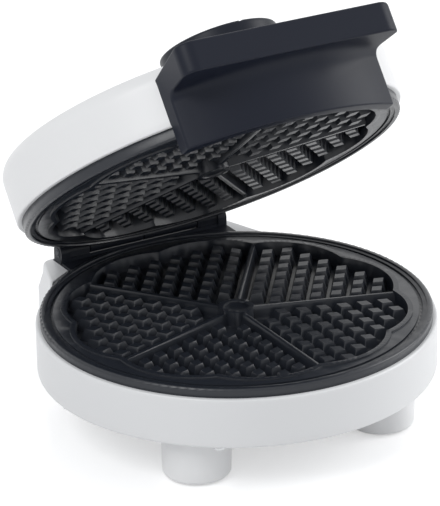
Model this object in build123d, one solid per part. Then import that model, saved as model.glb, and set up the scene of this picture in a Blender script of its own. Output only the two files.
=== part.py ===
"""Heart waffle maker: a round, hinged electric waffle iron that bakes five joined hearts.

The model stands on its feet on z = 0 and faces -Y. Base pieces are modelled where
they stand. Lid pieces are modelled with the lid shut and are then swung up about the
hinge axis by the resting angle, because the appliance rests open.
"""
from build123d import *
import os
from math import cos, hypot, radians, sin

os.makedirs("parts", exist_ok=True)

# Driving dimensions, mm.
DRUM_R = 117.0           # outside radius of base and lid housings
RIM_STEP = 2.5           # how far the baking plates stand in from the drum
HINGE_IN = 1.0           # hinge axis inside the drum's rearmost point
LIP_REACH = 23.0         # handle lip in front of the drum
BASE_FLOOR_Z = 31.0      # underside of the base housing, the feet reach down from here
BASE_DEEP = 30.0         # height of the base housing's wall
HOUSING_GAP = 14.3       # between the walls of the base and the shut lid
HINGE_RISE = 10.0        # hinge axis over the base housing's wall
LID_DEEP = 35.7          # lid wall, up to where it would meet the domed top
LID_DOME = 6.0           # rise of the domed top
REST_ANGLE = 38.4        # how far the lid stands open at rest
CAVITY_LOBE_R = 45.0     # one rounded shoulder of a heart
CAVITY_LOBE_AT = 55.0    # distance of that shoulder's centre from the plate centre
HEARTS = 5
TOOTH_PITCH = 11.65      # distance between neighbouring rows of teeth
TOOTH_HIGH = 7.0
BEAD_WIDE = 3.0          # raised lip round the ring of hearts
HANDLE_HALF = 66.0       # half length of the handle
LIP_RISE = 15.7          # handle lip's underside over the lid's lower edge
LIP_THICK = 18.0
LIP_CORNER = 13.0
SKIRT_T = 7.5            # how far the handle's skirt stands out from the drum
ARCH_R = 14.0            # rounded ends of the hollow under the lip
DIAL_R = 34.0
DIAL_Y = -57.0
DIAL_HIGH = 11.5         # top of the dial over the lid's crown
SHAFT_R = 3.0
LENS_R = 4.0
LAMP_X = 48.0
LAMP_Y = -75.0
FOOT_R = 20.4
FOOT_IN_X = 55.7         # how far the feet stand in from the drum, sideways and endways
FOOT_IN_Y = 56.9
PAD_R = 9.0
PAD_PROUD = 1.0
PAD_HIGH = 3.0
PIN_R = 2.0
BARREL_R = 4.0           # hinge knuckles
BARREL_HALF = 51.0
CHEEK_R = 5.2            # thicker knuckles at both ends
CHEEK_LONG = 6.0
SPLIT_X = 37.0           # where the base's knuckles meet the lid's
BORE_R = 1.7             # screw holes

# Wall thicknesses and clearances.
WALL = 2.5
RUN = 0.05               # radial running clearance of a pin or shaft in its bore
GAP = 0.3                # clearance beside every moving joint part
SLIP = 0.1               # clearance between assembled pieces that do not move
SHEET = 1.0              # pressed steel

# Heights of the base and of the lower plate.
BASE_TOP_Z = BASE_FLOOR_Z + BASE_DEEP
FLANGE_Z = BASE_TOP_Z + 4.5
RIM_TOP_Z = BASE_TOP_Z + 5.5
CAVITY_Z = FLANGE_Z - 8.0
PLATE_LOW_Z = CAVITY_Z - 3.0
MIRROR_Z = RIM_TOP_Z + 1.0      # plane midway between the shut plates

# Heights of the shut lid, its handle and its dial.
HINGE_Z = BASE_TOP_Z + HINGE_RISE
LID_LOW_Z = BASE_TOP_Z + HOUSING_GAP
LID_HIGH_Z = LID_LOW_Z + LID_DEEP
LID_CROWN_Z = LID_HIGH_Z + LID_DOME
LIP_LOW_Z = LID_LOW_Z + LIP_RISE
LIP_TOP_Z = LIP_LOW_Z + LIP_THICK
SKIRT_LOW_Z = BASE_TOP_Z - 3.0
DIAL_TOP_Z = LID_CROWN_Z + DIAL_HIGH

# Plan of the drum, the plates and the boxes at the back.
RIM_R = DRUM_R - RIM_STEP
PLATE_BODY_R = RIM_R - 4.0
LEDGE_R = PLATE_BODY_R + SLIP
FOOT_X = DRUM_R - FOOT_IN_X
FOOT_Y = DRUM_R - FOOT_IN_Y
HANDLE_Y = -DRUM_R - LIP_REACH
HANDLE_BACK_Y = 57.0 - DRUM_R
HINGE_Y = DRUM_R - HINGE_IN
REAR_FLAT_Y = HINGE_Y - 5.0     # both plates are cut flat here to clear the barrel
REAR_Y = HINGE_Y + 10.0         # back face of the base's box
REAR_TOP_Z = BASE_TOP_Z + 3.0
LID_REAR_Y = HINGE_Y + 6.0
LID_REAR_LOW_Z = HINGE_Z + 6.0
CHEEK_END = BARREL_HALF + CHEEK_LONG
BOX_START_Y = DRUM_R - 32.0     # the boxes grow out of the drum from here
BOX_FRONT = DRUM_R - 37.0       # half widths of the base's box, front and back
BOX_BACK = DRUM_R - 49.5
BOX_DRAW = 5.5                  # how far the box's upper half draws in
LID_BOX_FRONT = BOX_FRONT - 2.0

hinge_axis = Axis((0, HINGE_Y, HINGE_Z), (1, 0, 0))
saved = []


def disc(radius, low, high, x=0.0, y=0.0):
    """Upright cylinder between two heights."""
    return Pos(x, y, (low + high) / 2) * Cylinder(radius, high - low)


def ring(outer, inner, low, high, x=0.0, y=0.0):
    """Upright ring between two heights."""
    return disc(outer, low, high, x, y) - disc(inner, low - 1, high + 1, x, y)


def block(x0, x1, y0, y1, z0, z1):
    """Box given by its limits."""
    size = Box(x1 - x0, y1 - y0, z1 - z0)
    return Pos((x0 + x1) / 2, (y0 + y1) / 2, (z0 + z1) / 2) * size


def rod(radius, x0, x1, y, z):
    """Round bar along X."""
    return Pos((x0 + x1) / 2, y, z) * Rot(0, 90, 0) * Cylinder(radius, x1 - x0)


def trapezoid(front, back, y0, y1, z):
    """Flat four-sided outline, half widths front and back, at one height."""
    corners = [(-front, y0), (front, y0), (back, y1), (-back, y1)]
    return Pos(0, 0, z) * make_face(Polyline(*corners, close=True))


def put(name, shape, on_lid=False):
    """Swing lid pieces to the resting angle and write the piece out."""
    if on_lid:
        shape = shape.rotate(hinge_axis, -REST_ANGLE)
    shape.label = name
    saved.append(shape)


def screw(x, y, z, length, radius=2.0, up=True):
    """Pan-head screw; z is the face the head bears on, the head stands above it."""
    head = Pos(0, 0, 1.1) * Cylinder(radius * 1.9, 2.2)
    slot = Pos(0, 0, 2.0) * (Box(radius * 2.4, 0.8, 1.4) + Box(0.8, radius * 2.4, 1.4))
    shank = Pos(0, 0, -length / 2) * Cylinder(radius, length)
    turn = Rot(0, 0, 0) if up else Rot(180, 0, 0)
    return Pos(x, y, z) * turn * (head - slot + shank)


def around(count, radius, start=0.0):
    """Evenly spaced points on a circle."""
    steps = [radians(start + 360.0 * i / count) for i in range(count)]
    return [(radius * cos(a), radius * sin(a)) for a in steps]


# Base housing: drum with a box at the back that carries the hinge.
def base_body(inset, low, high):
    """Outside or inside form of the base housing, drawn in by inset."""
    drum = disc(DRUM_R - inset, low, min(high, BASE_TOP_Z))
    if inset == 0:
        drum = fillet(drum.edges().sort_by(Axis.Z)[-1], 1.2)
        drum = fillet(drum.edges().sort_by(Axis.Z)[0], WALL - 0.5)
    shoulder = BASE_TOP_Z - 12.0
    back = REAR_Y - inset
    front = BOX_FRONT - inset
    rear = BOX_BACK - inset
    lower = extrude(trapezoid(front, rear, BOX_START_Y, back, low), shoulder - low)
    upper = loft([trapezoid(front, rear, BOX_START_Y, back, shoulder),
                  trapezoid(front - BOX_DRAW, rear - BOX_DRAW, BOX_START_Y, back, high)])
    return drum + (lower + upper)


housing = base_body(0, BASE_FLOOR_Z, REAR_TOP_Z)
housing = housing - disc(DRUM_R + 0.01, BASE_TOP_Z, REAR_TOP_Z + 1)
inner = base_body(WALL, BASE_FLOOR_Z - 1, BASE_TOP_Z - WALL)
housing = housing - inner - disc(LEDGE_R, BASE_FLOOR_Z, REAR_TOP_Z + 1)
hinge_seat = block(-CHEEK_END - SLIP, CHEEK_END + SLIP, HINGE_Y - 16, REAR_Y - 3,
                   REAR_TOP_Z - 6, HINGE_Z - 1)
housing = housing - hinge_seat
gland_x = -38.0
gland_z = BASE_FLOOR_Z + 13.0
gland_hole = Pos(gland_x, REAR_Y, gland_z) * Rot(90, 0, 0) * Cylinder(6 + SLIP, 30)
housing = housing - gland_hole
BOSS_AT = DRUM_R - 6.0
BOSS_ANGLES = (0, 45, 135, 180, 235, 305)
bosses = [(BOSS_AT * cos(radians(a)), BOSS_AT * sin(radians(a))) for a in BOSS_ANGLES]
for bx, by in bosses:
    housing = housing + disc(4.0, BASE_FLOOR_Z + WALL, PLATE_LOW_Z - 1, bx, by)
    housing = housing - disc(BORE_R, BASE_FLOOR_Z, PLATE_LOW_Z - 4, bx, by)
cover_z = BASE_FLOOR_Z
put("base_housing", housing)

# Bottom cover, feet and pads.
cover = base_body(WALL + SLIP, cover_z, cover_z + WALL)
cover = cover & block(-200, 200, -200, 200, cover_z, cover_z + WALL)
vent_rows = [(x, y) for x in range(-30, 31, 12) for y in (-24, 24)]
for vx, vy in vent_rows:
    cover = cover - block(vx - 2, vx + 2, vy - 14, vy + 14, 0, 50)
for bx, by in bosses:
    cover = cover - disc(2.2, 0, 50, bx, by)
feet_at = [(x, y) for x in (-FOOT_X, FOOT_X) for y in (-FOOT_Y, FOOT_Y)]
for fx, fy in feet_at:
    cover = cover - disc(2.2, 0, 50, fx, fy)
put("bottom_cover", cover)


def foot(x, y):
    """Hollow round foot, a little narrower at the floor, with a seat for its pad."""
    body = Pos(x, y, PAD_PROUD) * extrude(Circle(FOOT_R - 0.8), BASE_FLOOR_Z - PAD_PROUD,
                                          taper=-1.5)
    body = fillet(body.edges().group_by(Axis.Z)[0], 2.5)
    hollow = disc(FOOT_R - 5, BASE_FLOOR_Z - 20, BASE_FLOOR_Z + 1, x, y)
    post = disc(4.5, BASE_FLOOR_Z - 21, BASE_FLOOR_Z, x, y)
    bore = disc(2.0, BASE_FLOOR_Z - 15, BASE_FLOOR_Z + 1, x, y)
    seat = disc(PAD_R, 0, PAD_HIGH, x, y)
    return body - hollow + post - bore - seat


put("feet", Compound([foot(x, y) for x, y in feet_at]))
put("foot_pads", Compound([disc(PAD_R, 0, PAD_HIGH, x, y) for x, y in feet_at]))
put("foot_screws", Compound([screw(x, y, cover_z + WALL, 14) for x, y in feet_at]))
put("bottom_screws", Compound([screw(x, y, cover_z, 12, 1.7, False) for x, y in bosses]))


# Baking plates.
def plate(flange, rim, toward):
    """Heart plate with its working side up; flange and rim are heights over the floor."""
    floor = 0.0
    low = -3.0
    skirt = rim - toward
    edge = disc(RIM_R, skirt, rim)
    edge = fillet(edge.edges().sort_by(Axis.Z)[-1], 1.5)
    body = disc(PLATE_BODY_R, low, flange) + edge
    body = body - disc(RIM_R - 3.5, flange, rim + 1)
    body = body - ring(PLATE_BODY_R - 2.5, PLATE_BODY_R - 7.5, low - 1, floor + 3)
    body = body - ring(RIM_R - 6.0, RIM_R - 8.0, flange - 1.2, flange + 1)
    lobes = Sketch() + [Pos(x, y) * Circle(CAVITY_LOBE_R)
                        for x, y in around(2 * HEARTS, CAVITY_LOBE_AT)]
    bead = offset(lobes, BEAD_WIDE)
    body = body + Pos(0, 0, flange - 1) * extrude(bead, 2.0)
    body = body - Pos(0, 0, floor) * extrude(lobes, flange + 2)
    crease = 360.0 / HEARTS
    wall_long = CAVITY_LOBE_AT + CAVITY_LOBE_R - 4
    teeth = []
    step = TOOTH_PITCH / sin(radians(crease))
    u = radians(-90.0)
    v = radians(-90.0 + crease)
    for i in range(14):
        for j in range(14):
            along = (i + 0.82) * step
            across = (j + 0.82) * step
            x = along * cos(u) + across * cos(v)
            y = along * sin(u) + across * sin(v)
            nearest = max(CAVITY_LOBE_R - hypot(x - lx, y - ly)
                          for lx, ly in around(2 * HEARTS, CAVITY_LOBE_AT))
            if nearest > 0.55 * TOOTH_PITCH:
                teeth.append((x, y))
    half = 0.5 * step * 0.86
    ax = (half * cos(u), half * sin(u))
    bx = (half * cos(v), half * sin(v))
    corners = [(ax[0] + bx[0], ax[1] + bx[1]), (ax[0] - bx[0], ax[1] - bx[1]),
               (-ax[0] - bx[0], -ax[1] - bx[1]), (-ax[0] + bx[0], -ax[1] + bx[1])]
    tooth_foot = make_face(Polyline(*corners, close=True))
    tooth_top = scale(tooth_foot, by=0.56)
    tooth = loft([Pos(0, 0, floor - 0.5) * tooth_foot, Pos(0, 0, TOOTH_HIGH) * tooth_top])
    wall_foot = make_face(Polyline((0, -3), (wall_long, -3), (wall_long, 3), (0, 3), close=True))
    wall_top = make_face(Polyline((0, -1.2), (wall_long, -1.2), (wall_long, 1.2), (0, 1.2),
                                  close=True))
    wall = loft([Pos(0, 0, floor - 0.5) * wall_foot, Pos(0, 0, flange - 0.5) * wall_top])
    sector = [Pos(x, y, 0) * tooth for x, y in teeth] + [Rot(0, 0, -90) * wall]
    pattern = [Rot(0, 0, k * crease) * piece for k in range(HEARTS) for piece in sector]
    return body + pattern, len(teeth) * HEARTS


lower, tooth_count = plate(FLANGE_Z - CAVITY_Z, RIM_TOP_Z - CAVITY_Z, RIM_TOP_Z - BASE_TOP_Z)
print("teeth per plate", tooth_count)
REAR_CUT = CHEEK_END + 3.0
rear_cut = block(-REAR_CUT, REAR_CUT, REAR_FLAT_Y, REAR_Y + 4, -40, 40)
lower = lower - rear_cut
plate_studs = around(3, 84.0, 18.0)
for sx, sy in plate_studs:
    lower = lower + ring(4.0, BORE_R, -12.0, -2.5, sx, sy)
lower = Pos(0, 0, CAVITY_Z) * lower
upper = mirror(lower, about=Plane.XY.offset(MIRROR_Z))
upper = upper + (ring(RIM_R, PLATE_BODY_R - 1, LID_LOW_Z - 4, LID_LOW_Z)
                 - block(-REAR_CUT, REAR_CUT, REAR_FLAT_Y, REAR_Y + 4, 0, 200))
put("lower_plate", lower)
put("upper_plate", upper, True)

# Heating elements, heat shields.
TUBE_R = 3.25
LOOP_R = 66.0
LOOP_OPEN = 9.0          # half the gap in the loop, degrees
LEG_R = 2.4
element_z = PLATE_LOW_Z - TUBE_R
leg_turn = radians(90.0 - LOOP_OPEN - 4.0)
element_legs = [(side * LOOP_R * cos(leg_turn), LOOP_R * sin(leg_turn)) for side in (-1, 1)]


def element(z, leg_low):
    """Tubular heater bent in a loop, with two legs to its terminals."""
    section = Plane.XZ * Pos(LOOP_R, z) * Circle(TUBE_R)
    loop = Rot(0, 0, 90 + LOOP_OPEN) * revolve(section, Axis.Z, 360.0 - 2 * LOOP_OPEN)
    for x, y in element_legs:
        loop = loop + disc(LEG_R, leg_low, z, x, y)
    return loop


SHIELD_R = 100.0


def shield(z, rise):
    """Pressed dish with a turned-up edge and clearance holes."""
    dish = disc(SHIELD_R - 8, z, z + SHEET) + ring(SHIELD_R - 8, SHIELD_R - 8 - SHEET, z, z + rise)
    for sx, sy in plate_studs:
        dish = dish - disc(1.6, z - 1, z + 2, sx, sy)
    for x, y in element_legs:
        dish = dish - disc(LEG_R + 1, z - 1, z + 2, x, y)
    return dish


stud_low = CAVITY_Z - 12.0
shield_low = stud_low - SHEET
put("lower_heat_shield", shield(shield_low, 5.0))
lower_element = element(element_z, shield_low - 3)
put("lower_heating_element", lower_element)
put("lower_plate_screws", Compound([screw(x, y, shield_low, 8, 1.6, False)
                                    for x, y in plate_studs]))
flip = Plane.XY.offset(MIRROR_Z)
put("upper_heat_shield", mirror(shield(shield_low, 5.0), about=flip), True)
put("upper_heating_element", mirror(lower_element, about=flip), True)
put("upper_plate_screws", Compound([screw(x, y, 2 * MIRROR_Z - shield_low, 8, 1.6)
                                    for x, y in plate_studs]), True)

# Terminal block and cord inlet.
TERMINAL_Y = DRUM_R - 30.0
TERMINAL_X = gland_x - 4.0
terminal_low = cover_z + WALL
terminals = block(TERMINAL_X - 18, TERMINAL_X + 18, TERMINAL_Y - 7, TERMINAL_Y + 7, terminal_low,
                  terminal_low + 10)
for tx in (TERMINAL_X - 12, TERMINAL_X, TERMINAL_X + 12):
    terminals = terminals - disc(2.5, terminal_low + 4, terminal_low + 26.5, tx, TERMINAL_Y)
put("terminal_block", terminals)
gland = Pos(gland_x, REAR_Y - WALL / 2, gland_z) * Rot(90, 0, 0) * Cylinder(6, WALL + 6)
lip_out = Pos(gland_x, REAR_Y + 1, gland_z) * Rot(90, 0, 0) * Cylinder(8, 2)
lip_in = Pos(gland_x, REAR_Y - WALL - 1, gland_z) * Rot(90, 0, 0) * Cylinder(8, 2)
gland_bore = Pos(gland_x, REAR_Y, gland_z) * Rot(90, 0, 0) * Cylinder(3.4, 40)
put("cord_gland", gland + lip_out + lip_in - gland_bore)

# Hinge.
seat_z = REAR_TOP_Z - WALL
bracket = block(-CHEEK_END, CHEEK_END, REAR_FLAT_Y + SLIP, REAR_Y - 3 - SLIP, seat_z,
                REAR_TOP_Z + 0.4)
for side in (-1, 1):
    inside = side * (SPLIT_X + GAP)
    outside = side * BARREL_HALF
    lo, hi = min(inside, outside), max(inside, outside)
    lug = block(lo, hi, HINGE_Y - BARREL_R, HINGE_Y + BARREL_R, REAR_TOP_Z, HINGE_Z)
    bracket = bracket + lug + rod(BARREL_R, lo, hi, HINGE_Y, HINGE_Z)
    end = side * CHEEK_END
    lo, hi = min(outside, end), max(outside, end)
    cheek = block(lo, hi, HINGE_Y - CHEEK_R, HINGE_Y + CHEEK_R, REAR_TOP_Z, HINGE_Z)
    bracket = bracket + cheek + rod(CHEEK_R, lo, hi, HINGE_Y, HINGE_Z)
pin_bore = rod(PIN_R + RUN, -70, 70, HINGE_Y, HINGE_Z)
pin_space = rod(PIN_R, -70, 70, HINGE_Y, HINGE_Z)
put("base_hinge_bracket", bracket - pin_space)
put("hinge_pin", rod(PIN_R, -CHEEK_END - 2.5, CHEEK_END + 2.5, HINGE_Y, HINGE_Z))
clip_x = CHEEK_END
clips = [rod(3.4, clip_x, clip_x + 1.2, HINGE_Y, HINGE_Z),
         rod(3.4, -clip_x - 1.2, -clip_x, HINGE_Y, HINGE_Z)]
put("pin_clips", Compound([c - pin_space for c in clips]))

leaf_top = LID_REAR_LOW_Z
leaf = block(-SPLIT_X + GAP, SPLIT_X - GAP, HINGE_Y - BARREL_R, HINGE_Y + BARREL_R,
             HINGE_Z, leaf_top)
leaf = leaf + rod(BARREL_R, -SPLIT_X + GAP, SPLIT_X - GAP, HINGE_Y, HINGE_Z)
leaf = leaf - block(-GAP, GAP, HINGE_Y - 16, HINGE_Y + 14, HINGE_Z - 11, HINGE_Z + BARREL_R + 1)
leaf = leaf + block(-BARREL_HALF, BARREL_HALF, HINGE_Y - BARREL_R, HINGE_Y + BARREL_R - 1,
                    leaf_top, leaf_top + 2.0)
put("lid_hinge_bracket", leaf - pin_bore, True)


# Lid housing: domed drum with a square-shouldered back.
def lid_body(inset, low):
    """Outside or inside form of the lid housing, drawn in by inset."""
    radius = DRUM_R + 0.3 - inset
    crown = LID_CROWN_Z - inset
    edge = LID_HIGH_Z - inset
    with BuildSketch(Plane.XZ) as half:
        with BuildLine():
            Polyline((0, crown), (0, low), (radius, low), (radius, edge))
            ThreePointArc((radius, edge), (radius * 0.5, crown - (crown - edge) * 0.25),
                          (0, crown))
        make_face()
        rim = [q for q in half.vertices() if q.X > 1 and q.Z > low + 1]
        fillet(rim, 10.0 - inset)
    drum = revolve(half.sketch, Axis.Z)
    back = LID_REAR_Y - inset
    lift = LID_REAR_LOW_Z - LID_LOW_Z + (inset if inset else 0)
    rear = BOX_BACK - BOX_DRAW - inset
    outline = trapezoid(LID_BOX_FRONT - inset, rear, BOX_START_Y, back, low + lift)
    box = extrude(outline, 30 - inset)
    return drum, box


drum, box = lid_body(0, LID_LOW_Z)
box = chamfer(box.edges().group_by(Axis.Z)[-1], 5.0)
lid_outer = drum + box
drum_in, box_in = lid_body(WALL, LID_LOW_Z - 1)
lid = lid_outer - drum_in - (box_in & block(-200, 200, 0, 200, LID_REAR_LOW_Z + WALL, 200))
lid = lid + (disc(DRUM_R, LID_LOW_Z, LID_LOW_Z + WALL) & lid_outer)
lid = lid - disc(LEDGE_R, LID_LOW_Z - 1, LID_LOW_Z + WALL + 1)
leaf_half = BARREL_HALF + SLIP
lid = lid - block(-leaf_half, leaf_half, REAR_FLAT_Y, REAR_Y + 4, HINGE_Z - 11, LID_REAR_LOW_Z)
lid = lid - block(-leaf_half, leaf_half, REAR_FLAT_Y, HINGE_Y + BARREL_R - 0.9, HINGE_Z - 11,
                  LID_REAR_LOW_Z + 2)
top_cut = (LID_CROWN_Z - 27, LID_CROWN_Z + 13)
lamp_at = [(-LAMP_X, LAMP_Y), (LAMP_X, LAMP_Y)]
lid = lid - disc(SHAFT_R + 1.0, *top_cut, 0, DIAL_Y)
for lx, ly in lamp_at:
    lid = lid - disc(LENS_R + SLIP, *top_cut, lx, ly)
bolt_z = LID_LOW_Z + 8.7
bolt_at = [(-22.0, bolt_z), (22.0, bolt_z)]
bolt_y = ((DRUM_R + 0.3 - WALL) ** 2 - 24.0 ** 2) ** 0.5
bolt_form = Pos(0, 0, 3) * Cylinder(1.7, 6) + Pos(0, 0, -0.9) * Cylinder(3.2, 1.8)
bolts = [Pos(x, -bolt_y - 3, z) * Rot(90, 0, 0) * Cylinder(1.7, 6) for x, z in bolt_at]
seats = [Pos(x, -bolt_y + 1.5, z) * Rot(90, 0, 0) * Cylinder(3.2, 3) for x, z in bolt_at]
for cut in bolts + seats:
    lid = lid - cut
put("lid_housing", lid, True)

# Handle: skirt round the front of the lid with an overhanging lip.
plan = Rectangle(2 * HANDLE_HALF, HANDLE_BACK_Y - HANDLE_Y)
plan = Pos(0, (HANDLE_Y + HANDLE_BACK_Y) / 2) * plan
plan = fillet(plan.vertices().group_by(Axis.Y)[0], LIP_CORNER)
grip = Pos(0, 0, SKIRT_LOW_Z) * extrude(plan, 60)
side_view = make_face(Polyline((HANDLE_Y - 1, SKIRT_LOW_Z), (HANDLE_Y - 1, LIP_TOP_Z),
                               (HANDLE_BACK_Y, LIP_TOP_Z + 3.5), (HANDLE_BACK_Y, SKIRT_LOW_Z),
                               close=True))
grip = grip & extrude(Plane.YZ.offset(-HANDLE_HALF - 1) * side_view, 2 * HANDLE_HALF + 2)
arch = Pos(0, LIP_LOW_Z - 40) * Rectangle(2 * HANDLE_HALF + 0.02, 80)
arch = fillet(arch.vertices().group_by(Axis.Y)[-1], ARCH_R)
recess = Plane.XZ.offset(-HANDLE_Y + 1) * arch
recess = extrude(recess, 50, dir=(0, 1, 0.17))
grip = grip - (recess - disc(DRUM_R + SKIRT_T, 0, 200))
handle = grip - disc(DRUM_R + 0.9, 0, LID_LOW_Z + 0.5) - lid_outer
handle = handle - disc(DRUM_R + 0.3, LID_LOW_Z, LID_HIGH_Z - 10)
for bolt in bolts:
    handle = handle - bolt
put("handle", handle, True)
put("handle_screws", Compound([Pos(x, -bolt_y, z) * Rot(90, 0, 0) * bolt_form
                               for x, z in bolt_at]), True)

# Thermostat, its shaft and dial.
dial_ring = disc(DIAL_R + 3, LID_CROWN_Z - 12, LID_CROWN_Z + 0.8, 0, DIAL_Y) - lid_outer
dial_ring = dial_ring - disc(SHAFT_R + 1.0, *top_cut, 0, DIAL_Y)
put("dial_scale_ring", dial_ring, True)
stat = block(-11, 11, DIAL_Y - 16, DIAL_Y + 16, LID_CROWN_Z - 18, LID_CROWN_Z - 5)
stat = stat - disc(SHAFT_R + RUN, *top_cut, 0, DIAL_Y)
put("thermostat", stat, True)
dial_low = LID_CROWN_Z + 0.8 + GAP
shaft = disc(SHAFT_R, LID_CROWN_Z - 16, DIAL_TOP_Z - 4, 0, DIAL_Y)
put("thermostat_shaft", shaft, True)
knob = Pos(0, DIAL_Y, dial_low) * extrude(Circle(DIAL_R), DIAL_TOP_Z - dial_low, taper=4)
knob = fillet(knob.edges().group_by(Axis.Z)[-1], 2.0)
waist = ring(DIAL_R + 1, DIAL_R - 1.6, dial_low + 2.2, dial_low + 3.4, 0, DIAL_Y)
knob = knob - waist
knob = knob - block(-1.2, 1.2, DIAL_Y - DIAL_R, DIAL_Y - 14, DIAL_TOP_Z - 0.8, DIAL_TOP_Z + 1)
knob = knob - disc(SHAFT_R, dial_low - 1, DIAL_TOP_Z - 4, 0, DIAL_Y)
put("thermostat_dial", knob, True)

# Pilot lamps.
for name, (lx, ly) in zip(("pilot_lamp_red", "pilot_lamp_green"), lamp_at):
    lens = disc(LENS_R, LID_CROWN_Z - 13, LID_CROWN_Z, lx, ly)
    lens = lens + Pos(lx, ly, LID_CROWN_Z - 1) * Sphere(LENS_R)
    put(name, lens, True)

# The origin is the middle of the whole object on the table it stands on.
whole = Compound(saved).bounding_box()
shift_y = -(whole.min.Y + whole.max.Y) / 2
for shape in saved:
    export_step(Pos(0, shift_y, 0) * shape, f"parts/{shape.label}.step")
    print(shape.label, len(shape.solids()), round(shape.volume))
print("box", whole.min, whole.max)
print("shift", shift_y, "hinge axis", HINGE_Y + shift_y, HINGE_Z)
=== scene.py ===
import bpy
import bmesh
import numpy as np
from mathutils import Matrix, Vector


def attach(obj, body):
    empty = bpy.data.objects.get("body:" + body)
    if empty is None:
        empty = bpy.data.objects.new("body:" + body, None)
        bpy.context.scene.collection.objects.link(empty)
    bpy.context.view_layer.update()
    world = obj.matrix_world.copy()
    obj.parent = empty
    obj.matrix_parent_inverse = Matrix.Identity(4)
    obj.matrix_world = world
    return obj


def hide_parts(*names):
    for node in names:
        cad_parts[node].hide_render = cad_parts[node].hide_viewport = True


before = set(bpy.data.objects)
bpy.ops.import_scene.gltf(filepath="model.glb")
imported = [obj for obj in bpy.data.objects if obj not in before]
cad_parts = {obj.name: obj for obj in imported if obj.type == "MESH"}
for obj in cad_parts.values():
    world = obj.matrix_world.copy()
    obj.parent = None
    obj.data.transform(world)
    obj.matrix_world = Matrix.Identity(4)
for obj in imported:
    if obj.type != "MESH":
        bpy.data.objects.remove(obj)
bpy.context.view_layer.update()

# Base housing. The real piece is one white moulding of heat-proof plastic: a round wall with
# a soft lower edge, an inner ledge that the baking plate hangs on, and a box at the back for
# the hinge. Sizes are in mm from the drum's axis, which lies at y = TO_MIDDLE, and the table.
TO_MIDDLE = -12.432356
BASE_R, BASE_LOW, BASE_TOP, WALL, LEDGE_IN = 117.0, 31.0, 61.0, 2.5, 110.6
WALL_HEIGHTS = (36.0, 42.0, 49.0, 53.0, 57.0)
LOW_ROUND, TOP_ROUND, SHARP = 2.0, 1.4, np.radians(32.0)
BOX_BACK, BOX_SIDE, BOX_FACING, BOX_RISE = 126.0, 101.3, (0.9566, 0.2917), 3.0
SIDE_DRAW, DRAW_FROM, DRAW_OVER = 5.5, 49.0, 15.0
BOX_EDGE_IN, BOX_EDGE_R, BOX_FOOT_IN, BOX_FOOT_R = 1.5, 117.7, 1.6, 117.2
BOX_NEAR, INSIDE_LOW = 0.4, 35.0


def eased(share):
    """A smooth step: 3 s^2 - 2 s^3 of a share s that is held between 0 and 1."""
    share = np.clip(share, 0, 1)
    return share * share * (3 - 2 * share)


def soft_greater(a, b, k):
    """The larger of two lengths, with a rounded change-over k wide: (a+b+sqrt((a-b)^2+k^2))/2."""
    return (a + b + np.sqrt((a - b) ** 2 + k * k)) / 2


def housing_edge(turn, drum, back, side, facing, k=4.0, starts=0.25, over=0.2, spare=15.0, least=0.05):
    """Plan radius at each angle: the drum's circle, swollen at the back to the straight faces
    y = back and facing.p = side, whose own radius is distance over the cosine to the face.
    The k^2 / (4 spare) that the rounding adds on the drum, spare mm away, is taken off."""
    c, s = np.cos(turn), np.sin(turn)
    to_back = back / np.maximum(s, least)
    to_side = side / np.maximum(facing[0] * np.abs(c) + facing[1] * s, least)
    box = -soft_greater(-to_back, -to_side, k)
    swollen = np.maximum(soft_greater(drum, box, k) - k * k / (4 * spare), drum)
    return drum + eased((s - starts) / over) * (swollen - drum)


def box_share(swell, over=1.5):
    """0 on the drum and 1 on the box: how far the plan edge has swollen, as a share of over."""
    return np.clip(swell / over, 0, 1)


def xyz(x, y, z):
    """Array of points from three coordinates, each as wide as the widest."""
    return np.stack(np.broadcast_arrays(x, y, z), -1)


def about_upright(turn, radius, height, x=0.0, y=0.0):
    """Grid about an upright axis at x, y: each column sweeps x + r cos, y + r sin at its height."""
    return xyz(x + radius * np.cos(turn), y + radius * np.sin(turn), height)


def close_up(piece):
    """Merges doubled points, turns the faces outwards, and shades softly below an angle."""
    work = bmesh.new()
    work.from_mesh(piece.data)
    bmesh.ops.remove_doubles(work, verts=work.verts, dist=2e-6)
    bmesh.ops.recalc_face_normals(work, faces=work.faces)
    work.to_mesh(piece.data)
    work.free()
    piece.data.shade_smooth()
    piece.data.set_sharp_from_angle(angle=SHARP)
    return piece


def grid_piece(name, points, around=True, loop=False, caps=False):
    """Mesh of a grid of points in mm: rows join the next row (around closes them), columns
    join the next column (loop closes them), caps puts one face on each open end."""
    rows, cols = points.shape[:2]
    i = np.arange(rows if around else rows - 1)[:, None]
    j = np.arange(cols if loop else cols - 1)[None, :]
    i2, j2 = (i + 1) % rows, (j + 1) % cols
    quads = np.stack([i * cols + j, i2 * cols + j, i2 * cols + j2, i * cols + j2], -1)
    faces = quads.reshape(-1, 4).tolist()
    if caps:
        faces += [list(range(cols)), list(range((rows - 1) * cols, rows * cols))]
    mesh = bpy.data.meshes.new(name)
    mesh.from_pydata((points.reshape(-1, 3) / 1000).tolist(), [], faces)
    piece = bpy.data.objects.new(name, mesh)
    bpy.context.scene.collection.objects.link(piece)
    return close_up(piece)


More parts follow.
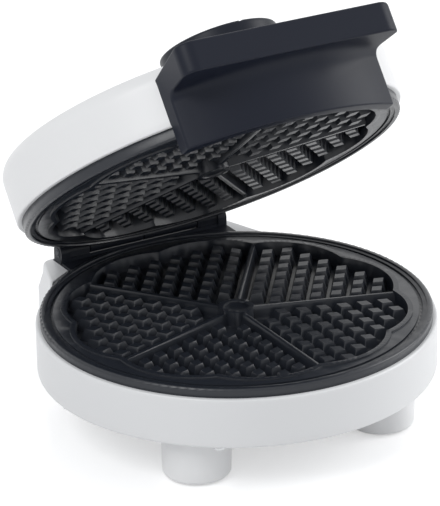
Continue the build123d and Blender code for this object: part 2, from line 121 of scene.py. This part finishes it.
def grained(name, colour, rough, grain, depth, shift=0.04, metallic=0.0, coat=0.0, specular=0.5):
    """Finish with a fine grain: object-space noise moves the colour by the share shift and the
    roughness by 12 percent, and raises a bump depth mm high. grain is noise cells per metre."""
    mat = bpy.data.materials.new(name)
    mat.use_nodes = True
    n, link = mat.node_tree.nodes, mat.node_tree.links
    skin = n["Principled BSDF"]
    skin.inputs["Metallic"].default_value = metallic
    skin.inputs["Coat Weight"].default_value = coat
    skin.inputs["Specular IOR Level"].default_value = specular
    place = n.new("ShaderNodeTexCoord")
    fine, broad = n.new("ShaderNodeTexNoise"), n.new("ShaderNodeTexNoise")
    fine.inputs["Scale"].default_value, fine.inputs["Detail"].default_value = grain, 3.0
    broad.inputs["Scale"].default_value, broad.inputs["Detail"].default_value = 9.0, 2.0
    tint = n.new("ShaderNodeMix")
    tint.data_type = "RGBA"
    tint.inputs["A"].default_value = (*[c * (1 - shift) for c in colour], 1)
    tint.inputs["B"].default_value = (*[min(1, c * (1 + shift)) for c in colour], 1)
    gloss = n.new("ShaderNodeMapRange")
    gloss.inputs["To Min"].default_value = rough * 0.88
    gloss.inputs["To Max"].default_value = rough * 1.12
    bump = n.new("ShaderNodeBump")
    bump.inputs["Strength"].default_value = 0.5
    bump.inputs["Distance"].default_value = depth / 1000
    for noise in (fine, broad):
        link.new(place.outputs["Object"], noise.inputs["Vector"])
    link.new(broad.outputs["Fac"], tint.inputs["Factor"])
    link.new(tint.outputs["Result"], skin.inputs["Base Color"])
    link.new(fine.outputs["Fac"], gloss.inputs["Value"])
    link.new(gloss.outputs["Result"], skin.inputs["Roughness"])
    link.new(fine.outputs["Fac"], bump.inputs["Height"])
    link.new(bump.outputs["Normal"], skin.inputs["Normal"])
    return mat


def finish_piece(piece, mat, body, nodes=()):
    """Paints a piece, fixes it to its body and hides the solids it stands for."""
    piece.data.materials.clear()
    piece.data.materials.append(mat)
    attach(piece, body)
    if nodes:
        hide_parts(*nodes)
    return piece


drum_turn = np.linspace(0, 2 * np.pi, 540, endpoint=False)[:, None]
quarter = np.linspace(0, np.pi / 2, 6)
low_edge = [(LOW_ROUND * (1 - np.sin(a)), BASE_LOW + LOW_ROUND * (1 - np.cos(a)), 0) for a in quarter]
top_edge = [(TOP_ROUND * (1 - np.cos(a)), BASE_TOP - TOP_ROUND * (1 - np.sin(a)), 1) for a in quarter]
section = [(WALL, BASE_LOW, 0), *low_edge, *[(0, z, 0) for z in WALL_HEIGHTS], *top_edge]
inset, level, lifted = np.array(section).T
side = BOX_SIDE - SIDE_DRAW * np.clip((level - DRAW_FROM) / DRAW_OVER, 0, 1)
outer = housing_edge(drum_turn, BASE_R, BOX_BACK, side[None, :], BOX_FACING)
low_rim, rim = outer[:, :1], outer[:, -1:]
boxed = box_share(rim - BASE_R - BOX_NEAR)
flat = np.ones_like(rim)
radius = np.concatenate([
    outer - inset, np.minimum(rim - BOX_EDGE_IN, BOX_EDGE_R), np.minimum(rim - BOX_FOOT_IN, BOX_FOOT_R),
    LEDGE_IN * flat, LEDGE_IN * flat, rim - WALL, low_rim - WALL], 1)
height = np.concatenate([
    level + lifted * BOX_RISE * boxed, BASE_TOP + BOX_RISE * boxed, BASE_TOP * flat, BASE_TOP * flat,
    (BASE_TOP - WALL) * flat, (BASE_TOP - WALL) * flat, INSIDE_LOW * flat], 1)
base_shell = grid_piece("base_shell", about_upright(drum_turn, radius, height, y=TO_MIDDLE), loop=True)
base_white = grained("base_white_plastic", (0.80, 0.805, 0.815),
                     rough=0.36, grain=2600, depth=0.03, shift=0.012)
finish_piece(base_shell, base_white, "base", ["base_housing"])

# Bottom cover, feet and pads. The cover is a flat white plate with vents, screwed up into the
# wall's bosses. Four hollow feet are screwed on under it, each with a pushed-in rubber pad.
cover_white = grained("cover_white_plastic", (0.74, 0.745, 0.755),
                      rough=0.5, grain=2200, depth=0.05)
foot_white = grained("foot_white_plastic", (0.88, 0.882, 0.888),
                     rough=0.34, grain=2600, depth=0.03, shift=0.012)
pad_rubber = grained("pad_rubber", (0.03, 0.03, 0.032), rough=0.8, grain=1800, depth=0.08)


def dressed(node, mat, body, bevel=0.0):
    """A copy of a solid's own mesh, joined up and softly shaded, with its edges rounded by
    bevel mm, that stands for the solid."""
    piece = bpy.data.objects.new(node + "_finished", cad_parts[node].data.copy())
    bpy.context.scene.collection.objects.link(piece)
    close_up(piece)
    if bevel:
        edge_round = piece.modifiers.new("edge", "BEVEL")
        edge_round.width = bevel / 1000
        edge_round.segments = 2
        edge_round.limit_method = "ANGLE"
        edge_round.angle_limit = SHARP
        edge_round.harden_normals = True
    return finish_piece(piece, mat, body, [node])


dressed("bottom_cover", cover_white, "base")
dressed("feet", foot_white, "base")
dressed("foot_pads", pad_rubber, "base")

# Screws. Steel with cross slots and a dull zinc plate: they hold the feet, the cover, the
# plates and the handle. All of them are headed from wire and plated alike.
zinc = grained("zinc_plate", (0.56, 0.57, 0.58),
               rough=0.32, grain=1500, depth=0.01, shift=0.05, metallic=1.0)
for node in ("foot_screws", "bottom_screws", "lower_plate_screws"):
    dressed(node, zinc, "base")
for node in ("upper_plate_screws", "handle_screws"):
    dressed(node, zinc, "lid")

# Baking plates. Two aluminium castings with five hearts of pyramid teeth, under a dark
# non-stick coat that shows a faint orange peel and bright glints on its corners.
TOOTH_EDGE = 0.35
coating = grained("non_stick_coat", (0.016, 0.019, 0.026),
                  rough=0.34, grain=1300, depth=0.06, shift=0.18, coat=0.12, specular=0.4)
coating.node_tree.nodes["Principled BSDF"].inputs["Coat Roughness"].default_value = 0.22
dressed("lower_plate", coating, "base", TOOTH_EDGE)
dressed("upper_plate", coating, "lid", TOOTH_EDGE)

# Heaters and heat shields. A tubular element lies on each plate's back, in a steel sheath with
# a straw-coloured heat stain. A dished sheet of aluminised steel covers it.
sheath = grained("heater_sheath", (0.30, 0.27, 0.23),
                 rough=0.45, grain=700, depth=0.02, shift=0.15, metallic=1.0)
aluminised = grained("aluminised_steel", (0.60, 0.61, 0.62),
                     rough=0.38, grain=500, depth=0.02, shift=0.08, metallic=1.0)
for part, mat in (("heating_element", sheath), ("heat_shield", aluminised)):
    dressed("lower_" + part, mat, "base")
    dressed("upper_" + part, mat, "lid")

# Terminals and cord inlet. A cream ceramic block takes the supply wires, and a black rubber
# grommet sits in the hole in the back wall.
INLET_EDGE = 0.4
ceramic = grained("glazed_ceramic", (0.72, 0.69, 0.60), rough=0.3, grain=900, depth=0.02)
grommet_rubber = grained("grommet_rubber", (0.02, 0.022, 0.026),
                         rough=0.6, grain=1500, depth=0.05)
dressed("terminal_block", ceramic, "base", INLET_EDGE)
dressed("cord_gland", grommet_rubber, "base", INLET_EDGE)

# Hinge. Knuckles of black-painted steel on the base and on the lid alternate along a pin of
# blued steel, which has a push-on clip at each end. Its axis runs along x at HINGE_Y, HINGE_Z.
HINGE_Y, HINGE_Z, CHEEK_END, KNUCKLE_EDGE = 116.0, 71.0, 57.0, 0.5
PIN_R, PIN_OUT, PIN_CHAMFER = 2.0, 0.6, 0.4
CLIP_BORE, CLIP_R, CLIP_EDGE_R, CLIP_THICK = 2.05, 3.0, 2.8, 0.4
hinge_black = grained("hinge_black_paint", (0.010, 0.012, 0.018),
                      rough=0.46, grain=1500, depth=0.04, shift=0.1, specular=0.22)
blued = grained("blued_steel", (0.045, 0.048, 0.056),
                rough=0.42, grain=900, depth=0.01, shift=0.04, metallic=1.0)
dressed("base_hinge_bracket", hinge_black, "base", KNUCKLE_EDGE)
dressed("lid_hinge_bracket", hinge_black, "lid", KNUCKLE_EDGE)
pin_turn = np.linspace(0, 2 * np.pi, 32, endpoint=False)[:, None]


def about_hinge(profile):
    """Grid of a bar turned about the hinge axis: each (x, r) of the profile sweeps a circle
    y = r cos, z = r sin round the axis."""
    x, r = np.array(profile).T
    return xyz(x, HINGE_Y + r * np.cos(pin_turn) + TO_MIDDLE, HINGE_Z + r * np.sin(pin_turn))


pin_end, tip_r = CHEEK_END + PIN_OUT, PIN_R - PIN_CHAMFER
pin = grid_piece("hinge_pin_bar", about_hinge([
    (-pin_end, 0), (-pin_end, tip_r), (-CHEEK_END, PIN_R),
    (CHEEK_END, PIN_R), (pin_end, tip_r), (pin_end, 0)]))
finish_piece(pin, blued, "base", ["hinge_pin"])
clips = []
for way in (-1, 1):
    near, tip = way * CHEEK_END, way * (CHEEK_END + CLIP_THICK)
    clips.append(grid_piece("pin_clip_pair", about_hinge([
        (near, CLIP_BORE), (near, CLIP_R), (tip, CLIP_EDGE_R), (tip, CLIP_BORE)]), loop=True))
pair = bmesh.new()
for clip in clips:
    pair.from_mesh(clip.data)
pair.to_mesh(clips[0].data)
pair.free()
bpy.data.objects.remove(clips[1])
finish_piece(clips[0], blued, "base", ["pin_clips"])

# Hinge leaf edge. The front of the base's hinge leaf is turned up behind the plate, and its
# ends reach forward under the plate's rim: one bent strip of the same painted steel.
LEAF_REACH_R, LEAF_FRONT, LEAF_BACK = 114.8, 111.2, 112.0
LEAF_LOW, LEAF_TOE, LEAF_TOP = 63.1, 66.0, 68.0
strip_x = np.linspace(-CHEEK_END, CHEEK_END, 115)
toe_y = np.minimum(np.sqrt(LEAF_REACH_R ** 2 - strip_x ** 2), LEAF_FRONT)
bend = [(toe_y, LEAF_LOW), (toe_y, LEAF_TOE), (LEAF_FRONT, LEAF_TOE), (LEAF_FRONT, LEAF_TOP),
        (LEAF_BACK, LEAF_TOP), (LEAF_BACK, LEAF_LOW)]
strip = np.stack([xyz(strip_x, y + TO_MIDDLE, z) for y, z in bend], 1)
leaf = grid_piece("hinge_leaf_edge", strip, around=False, loop=True, caps=True)
finish_piece(leaf, hinge_black, "base")

# Lid housing. White moulding like the base: a wall with a generous shoulder, a gently domed
# top and a squared back over the hinge. It is drawn shut and swung up about the hinge axis.
OPEN = np.radians(38.4)
LID_R, LID_LOW, LID_BACK_LOW, LID_ROUND, INSIDE_TOP = 117.3, 75.3, 77.0, 1.2, 99.0
LID_HEIGHTS = (80.0, 86.0, 92.0, 98.0)
SHOULDER_R, SHOULDER_LOW, SHOULDER_TURN = 10.0, 101.0, 1.45
DOME_R, DOME_TOP, DOME_FALL, SWELL_LEAST = 106.0, 117.0, 6.15, 0.02
LID_BOX_TOP, BEVEL_LOW, LID_BACK, LID_SIDE, LID_FACING = 107.0, 102.0, 121.4, 105.3, (0.918, 0.397)


def swing(shut):
    """Turns shut-lid points to the resting angle: y and z rotate by OPEN about the hinge axis,
    front upwards, and everything moves to the model's middle."""
    y, z = shut[..., 1] - HINGE_Y, shut[..., 2] - HINGE_Z
    return xyz(shut[..., 0], HINGE_Y + np.cos(OPEN) * y + np.sin(OPEN) * z + TO_MIDDLE,
               HINGE_Z - np.sin(OPEN) * y + np.cos(OPEN) * z)


low_edge = [(LID_ROUND * (1 - np.sin(a)), LID_LOW + LID_ROUND * (1 - np.cos(a)), 1) for a in quarter]
low_edge.insert(0, (LID_ROUND, LID_LOW, 1))
shoulder = [(SHOULDER_R * (1 - np.cos(a)), SHOULDER_LOW + SHOULDER_R * np.sin(a))
            for a in np.linspace(0, SHOULDER_TURN, 12)]
box_inset = np.interp(LID_BOX_TOP, [z for _, z in shoulder], [i for i, _ in shoulder])
dome_r = np.linspace(1, 0, 14)[1:] * DOME_R
section = low_edge + [(0, z, 1) for z in LID_HEIGHTS]
section += [(i, z, 1) for i, z in shoulder if z < LID_BOX_TOP]
section += [(box_inset, LID_BOX_TOP, 1), (box_inset, LID_BOX_TOP, 0)]
section += [(i, z, 0) for i, z in shoulder if z > LID_BOX_TOP]
section += [(LID_R - r, DOME_TOP - DOME_FALL * (r / DOME_R) ** 2, 0) for r in dome_r]
inset, level, on_box = np.array(section).T
bevel = np.clip(level - BEVEL_LOW, 0, LID_BOX_TOP - BEVEL_LOW)[None, :]
swell = housing_edge(drum_turn, LID_R, LID_BACK - bevel, LID_SIDE - bevel, LID_FACING) - LID_R
grown = np.maximum(swell + (inset - np.minimum(inset, LID_ROUND)), 0) * (swell > SWELL_LEAST)
boxed = box_share(swell[:, :1])
back_rise = (LID_BACK_LOW - LID_LOW) * boxed
rise = np.arange(len(level)) < len(low_edge)
flat = np.ones_like(boxed)
radius = np.concatenate([0 * flat, LEDGE_IN * flat, LEDGE_IN * flat,
                         LID_R - inset + np.where(on_box, grown, 0)], 1)
height = np.concatenate([INSIDE_TOP * flat, INSIDE_TOP * flat, LID_LOW + back_rise,
                         level + rise * back_rise], 1)
lid_shell = grid_piece("lid_shell", swing(about_upright(drum_turn, radius, height)))
lid_white = grained("lid_white_plastic", (0.86, 0.862, 0.868),
                    rough=0.36, grain=2600, depth=0.03, shift=0.012)
finish_piece(lid_shell, lid_white, "lid", ["lid_housing"])

# Handle. One black moulding screwed to the lid's front: a curved skirt that laps over the
# base, and a straight overhanging lip, hollow beneath, with rounded ends that flare a little.
LIP_Y, LIP_LOW, LIP_TOP, LIP_CORNER, SIDE, SIDE_ROUND = -140.0, 91.0, 109.0, 9.0, 66.0, 1.2
SKIRT_R, SKIRT_LOW, TOP_BACK_R, TOP_FALL = 126.0, 58.0, 116.0, 0.125
ON_LID_R, ON_LID_TOP, LAP_R, LAP_TOP = 117.35, 100.0, 117.9, 75.8
FLARE, FLARE_FROM, FLARE_OVER = 0.035, 112.0, 22.0
HOLLOW_FROM, HOLLOW_OVER, HOLLOW_ROWS = 18.0, 44.0, 9
END_WIDE, MORE_WIDE, END_DEEP, MORE_DEEP = 0.3, 0.62, 6.0, 13.0
station = SIDE * np.sin(np.linspace(-np.pi / 2, np.pi / 2, 221))
far = np.abs(station)


def side_round(r):
    """How far a rounding of radius r draws the outline in at each station: r - sqrt(r^2 - d^2),
    where d is how far the station is past the rounding's start."""
    return r * (1 - np.sqrt(1 - np.clip((far - SIDE + r) / r, 0, 1) ** 2))


def ring_y(r):
    """Front of a circle of radius r about the drum's axis at each station: -sqrt(r^2 - x^2)."""
    return -np.sqrt(r ** 2 - far ** 2)


def hollow_under(skirt, lip, low):
    """Rows (y, z) of the curve (1-t)^2 a + 2t(1-t) b + t^2 c, from a, deep on the skirt, by b,
    level with the lip, to c, on the way to the lip: wide in the middle and tight at the ends."""
    middle = eased(1 - (far - HOLLOW_FROM) / HOLLOW_OVER)
    wide, deep = END_WIDE + MORE_WIDE * middle, END_DEEP + MORE_DEEP * middle
    return [(skirt + t ** 2 * wide * (lip - skirt), low - (1 - t) ** 2 * deep)
            for t in np.linspace(0, 1, HOLLOW_ROWS)]


def rounded(corners, tangent, steps=7):
    """Rounds a row of corners: each becomes a quadratic curve (1-t)^2 a + 2t(1-t) c + t^2 b
    between points one tangent length away along its two edges."""
    before = np.roll(corners, 1, 1) - corners
    after = np.roll(corners, -1, 1) - corners
    lb, la = (np.linalg.norm(v, axis=2, keepdims=True) + 1e-9 for v in (before, after))
    reach = np.minimum(tangent[None, :, None], np.minimum(lb, la) * 0.45)
    a, b, c = corners + before / lb * reach, corners + after / la * reach, corners
    a, b, c = a[:, :, None], b[:, :, None], c[:, :, None]
    t = np.linspace(0, 1, steps)[None, None, :, None]
    curve = (1 - t) ** 2 * a + 2 * t * (1 - t) * c + t ** 2 * b
    return curve.reshape(corners.shape[0], -1, 2)


nip = side_round(SIDE_ROUND)
lip_y, lip_z = LIP_Y + side_round(LIP_CORNER) + nip, LIP_LOW + nip
skirt_y, skirt_z = ring_y(SKIRT_R) + nip, SKIRT_LOW + nip
top_z = LIP_TOP - TOP_FALL * (lip_y - LIP_Y) - nip
back_z = LIP_TOP - TOP_FALL * (ring_y(TOP_BACK_R) - LIP_Y) - nip
outline = [(skirt_y, skirt_z, 1.2)]
outline += [(y, z, 0.0) for y, z in hollow_under(skirt_y, lip_y, lip_z)]
outline += [(lip_y, lip_z, 1.4), (lip_y, top_z, 2.4), (ring_y(TOP_BACK_R), back_z, 0.4),
            (ring_y(ON_LID_R), ON_LID_TOP, 0.3), (ring_y(ON_LID_R), LAP_TOP, 0.1),
            (ring_y(LAP_R), LAP_TOP, 0.1), (ring_y(LAP_R), skirt_z, 0.6)]
corners = np.stack([np.stack(np.broadcast_arrays(y, z), -1) for y, z, _ in outline], 1)
loops = rounded(corners, np.array([tangent for _, _, tangent in outline]))
flare = 1 + FLARE * np.clip((-loops[..., 0] - FLARE_FROM) / FLARE_OVER, 0, 1)
handle = grid_piece("handle_moulding", swing(xyz(station[:, None] * flare, loops[..., 0],
                                                 loops[..., 1])),
                    around=False, loop=True, caps=True)
handle_black = grained("handle_black_plastic", (0.0095, 0.0120, 0.0215),
                       rough=0.42, grain=2200, depth=0.04, shift=0.06, specular=0.18)
finish_piece(handle, handle_black, "lid", ["handle"])

# Heat dial. A black knob with a finger groove, on a scale ring behind the handle. Its steel
# shaft runs in the thermostat, which sits under the lid's top.
DIAL_Y, DIAL_LOW, DIAL_GROW, DRAFT = -57.0, 118.2, 35.0 / 34.0, np.tan(np.radians(4.0))
GRIP_R, LIFT, LIFT_FROM, LIFT_OVER, DIAL_EDGE, BODY_EDGE = 26.0, 0.5, 124.0, 3.0, 0.2, 0.5
dial_black = grained("dial_black_plastic", (0.0095, 0.0120, 0.0205),
                     rough=0.38, grain=2200, depth=0.03, shift=0.06, specular=0.2)
shaft_steel = grained("shaft_steel", (0.62, 0.63, 0.64),
                      rough=0.22, grain=900, depth=0.01, shift=0.04, metallic=1.0)
thermostat_body = grained("thermostat_body", (0.35, 0.33, 0.30),
                          rough=0.5, grain=800, depth=0.03)


def swing_back(points):
    """The reverse of swing: y and z of the open lid's points rotate by -OPEN about the hinge
    axis, so that they lie as on the shut lid."""
    y, z = points[..., 1] - TO_MIDDLE - HINGE_Y, points[..., 2] - HINGE_Z
    return xyz(points[..., 0], HINGE_Y + np.cos(OPEN) * y - np.sin(OPEN) * z,
               HINGE_Z + np.sin(OPEN) * y + np.cos(OPEN) * z)


def made_upright(knob):
    """The real knob's side is upright and the solid's leans: each point of the grip moves out
    by its height times the draft's tangent, the knob grows by DIAL_GROW, and its top rises."""
    spots = np.empty(len(knob.data.vertices) * 3)
    knob.data.vertices.foreach_get("co", spots)
    x, y, z = swing_back(spots.reshape(-1, 3) * 1000).T
    off_axis = np.hypot(x, y - DIAL_Y)
    grow = DIAL_GROW + np.where(off_axis > GRIP_R, (z - DIAL_LOW) * DRAFT / off_axis, 0)
    raised = z + LIFT * np.clip((z - LIFT_FROM) / LIFT_OVER, 0, 1)
    shaped = swing(xyz(x * grow, DIAL_Y + (y - DIAL_Y) * grow, raised))
    knob.data.vertices.foreach_set("co", (shaped / 1000).ravel())
    knob.data.update()


made_upright(dressed("thermostat_dial", dial_black, "dial", DIAL_EDGE))
dressed("dial_scale_ring", dial_black, "lid", DIAL_EDGE)
dressed("thermostat_shaft", shaft_steel, "dial")
dressed("thermostat", thermostat_body, "lid", BODY_EDGE)

# Pilot lamps. Two low plastic lenses let into the lid on either side of the dial, red for
# power and green for ready. Each is a turned profile: a short drum under a shallow dome.
LENS_R, LENS_LOW, LENS_RIM, LENS_TOP, LAMP_X, LAMP_Y = 4.0, 106.0, 113.3, 114.7, 48.0, -75.0
lens_turn = np.linspace(0, 2 * np.pi, 48, endpoint=False)[:, None]
bow = np.linspace(0, 1, 9)
lens_r = np.concatenate([[0, LENS_R], LENS_R * np.sqrt(1 - bow ** 2)])
lens_z = np.concatenate([[LENS_LOW, LENS_LOW], LENS_RIM + (LENS_TOP - LENS_RIM) * bow])
for node, lamp_x, colour in (("pilot_lamp_red", -LAMP_X, (0.45, 0.015, 0.01)),
                             ("pilot_lamp_green", LAMP_X, (0.02, 0.28, 0.06))):
    glass = grained(node + "_glass", colour,
                    rough=0.15, grain=600, depth=0.01, shift=0.1, coat=0.5)
    lens_grid = about_upright(lens_turn, lens_r, lens_z, lamp_x, LAMP_Y)
    finish_piece(grid_piece(node + "_lens", swing(lens_grid)), glass, "lid", [node])

# Table. A white, slightly glossy top, which isn't part of the object. It glows a little to
# the camera and in reflections, so that it shows white and still keeps the object's shadow.
TABLE_HALF, TABLE_GLOW = 4.0, 0.43
TABLE_CORNERS = [(x * TABLE_HALF, y * TABLE_HALF, 0) for x, y in ((-1, -1), (1, -1), (1, 1), (-1, 1))]


def rays_of(tree, *kinds):
    """Socket that is 1 for rays of the given kinds and else 0: the largest of their flags."""
    path = tree.nodes.new("ShaderNodeLightPath")
    found = path.outputs[kinds[0]]
    for kind in kinds[1:]:
        larger = tree.nodes.new("ShaderNodeMath")
        larger.operation = "MAXIMUM"
        tree.links.new(found, larger.inputs[0])
        tree.links.new(path.outputs[kind], larger.inputs[1])
        found = larger.outputs[0]
    return found


floor_mesh = bpy.data.meshes.new("table_top")
floor_mesh.from_pydata(TABLE_CORNERS, [], [(0, 1, 2, 3)])
table_top = bpy.data.objects.new("table_top", floor_mesh)
bpy.context.scene.collection.objects.link(table_top)
paper = bpy.data.materials.new("white_table")
paper.use_nodes = True
nodes, links = paper.node_tree.nodes, paper.node_tree.links
nodes["Principled BSDF"].inputs["Base Color"].default_value = (0.86, 0.86, 0.865, 1)
nodes["Principled BSDF"].inputs["Roughness"].default_value = 0.16
glow = nodes.new("ShaderNodeEmission")
glow.inputs["Color"].default_value = (1, 1, 1, 1)
dim = nodes.new("ShaderNodeMath")
dim.operation = "MULTIPLY"
dim.inputs[1].default_value = TABLE_GLOW
links.new(rays_of(paper.node_tree, "Is Camera Ray", "Is Glossy Ray"), dim.inputs[0])
links.new(dim.outputs[0], glow.inputs["Strength"])
both = nodes.new("ShaderNodeAddShader")
links.new(nodes["Principled BSDF"].outputs["BSDF"], both.inputs[0])
links.new(glow.outputs["Emission"], both.inputs[1])
links.new(both.outputs["Shader"], nodes["Material Output"].inputs["Surface"])
floor_mesh.materials.append(paper)

# Studio. A white surround that lights the object softly and shows plain white behind it, one
# large lamp high on the left and a weaker one on the right.
world = bpy.data.worlds.new("studio")
bpy.context.scene.world = world
world.use_nodes = True
nodes, links = world.node_tree.nodes, world.node_tree.links
nodes.clear()
soft_sky, white_sky = nodes.new("ShaderNodeBackground"), nodes.new("ShaderNodeBackground")
soft_sky.inputs["Color"].default_value = (0.96, 0.98, 1.0, 1)
soft_sky.inputs["Strength"].default_value = 0.55
white_sky.inputs["Color"].default_value = (1, 1, 1, 1)
white_sky.inputs["Strength"].default_value = 1.0
choose = nodes.new("ShaderNodeMixShader")
shown = rays_of(world.node_tree, "Is Camera Ray", "Is Transmission Ray", "Is Glossy Ray")
links.new(shown, choose.inputs["Fac"])
links.new(soft_sky.outputs[0], choose.inputs[1])
links.new(white_sky.outputs[0], choose.inputs[2])
links.new(choose.outputs[0], nodes.new("ShaderNodeOutputWorld").inputs["Surface"])


def soft_lamp(name, at, size, power, towards=(0, 0, 0.1)):
    """Square soft lamp at a place, facing a point: metres and watts."""
    data = bpy.data.lights.new(name, "AREA")
    data.size = size
    data.energy = power
    lamp = bpy.data.objects.new(name, data)
    bpy.context.scene.collection.objects.link(lamp)
    lamp.location = at
    lamp.rotation_euler = (Vector(towards) - Vector(at)).to_track_quat("-Z", "Y").to_euler()


soft_lamp("key_lamp", (-1.5, -0.6, 1.7), 1.0, 16)
soft_lamp("fill_lamp", (1.9, -0.6, 0.9), 1.2, 20)

# Camera. A long lens from the front left, a little above, as the picture was taken. It stands
# DISTANCE metres from the point that it looks at, rolled by about a degree.
AZIMUTH, ELEVATION, ROLL = np.radians((-29.2, 22.9, -1.1))
DISTANCE, SEEN_POINT = 1.9705, Vector((-0.0101, TO_MIDDLE / 1000, 0.102))
FOCAL_PIXELS, PHOTO_HEIGHT, SENSOR = 3418, 506, 36.0
backwards = Vector((np.sin(AZIMUTH) * np.cos(ELEVATION), -np.cos(AZIMUTH) * np.cos(ELEVATION),
                    np.sin(ELEVATION)))
lens = bpy.data.cameras.new("camera")
lens.sensor_width = SENSOR
lens.lens = FOCAL_PIXELS * SENSOR / PHOTO_HEIGHT
lens.clip_end = 30.0
camera = bpy.data.objects.new("camera", lens)
bpy.context.scene.collection.objects.link(camera)
camera.location = SEEN_POINT + backwards * DISTANCE
aim = (-backwards).to_track_quat("-Z", "Y").to_matrix()
camera.rotation_euler = (aim @ Matrix.Rotation(ROLL, 3, "Z")).to_euler()
bpy.context.scene.camera = camera
bpy.context.scene.view_settings.view_transform = "Standard"
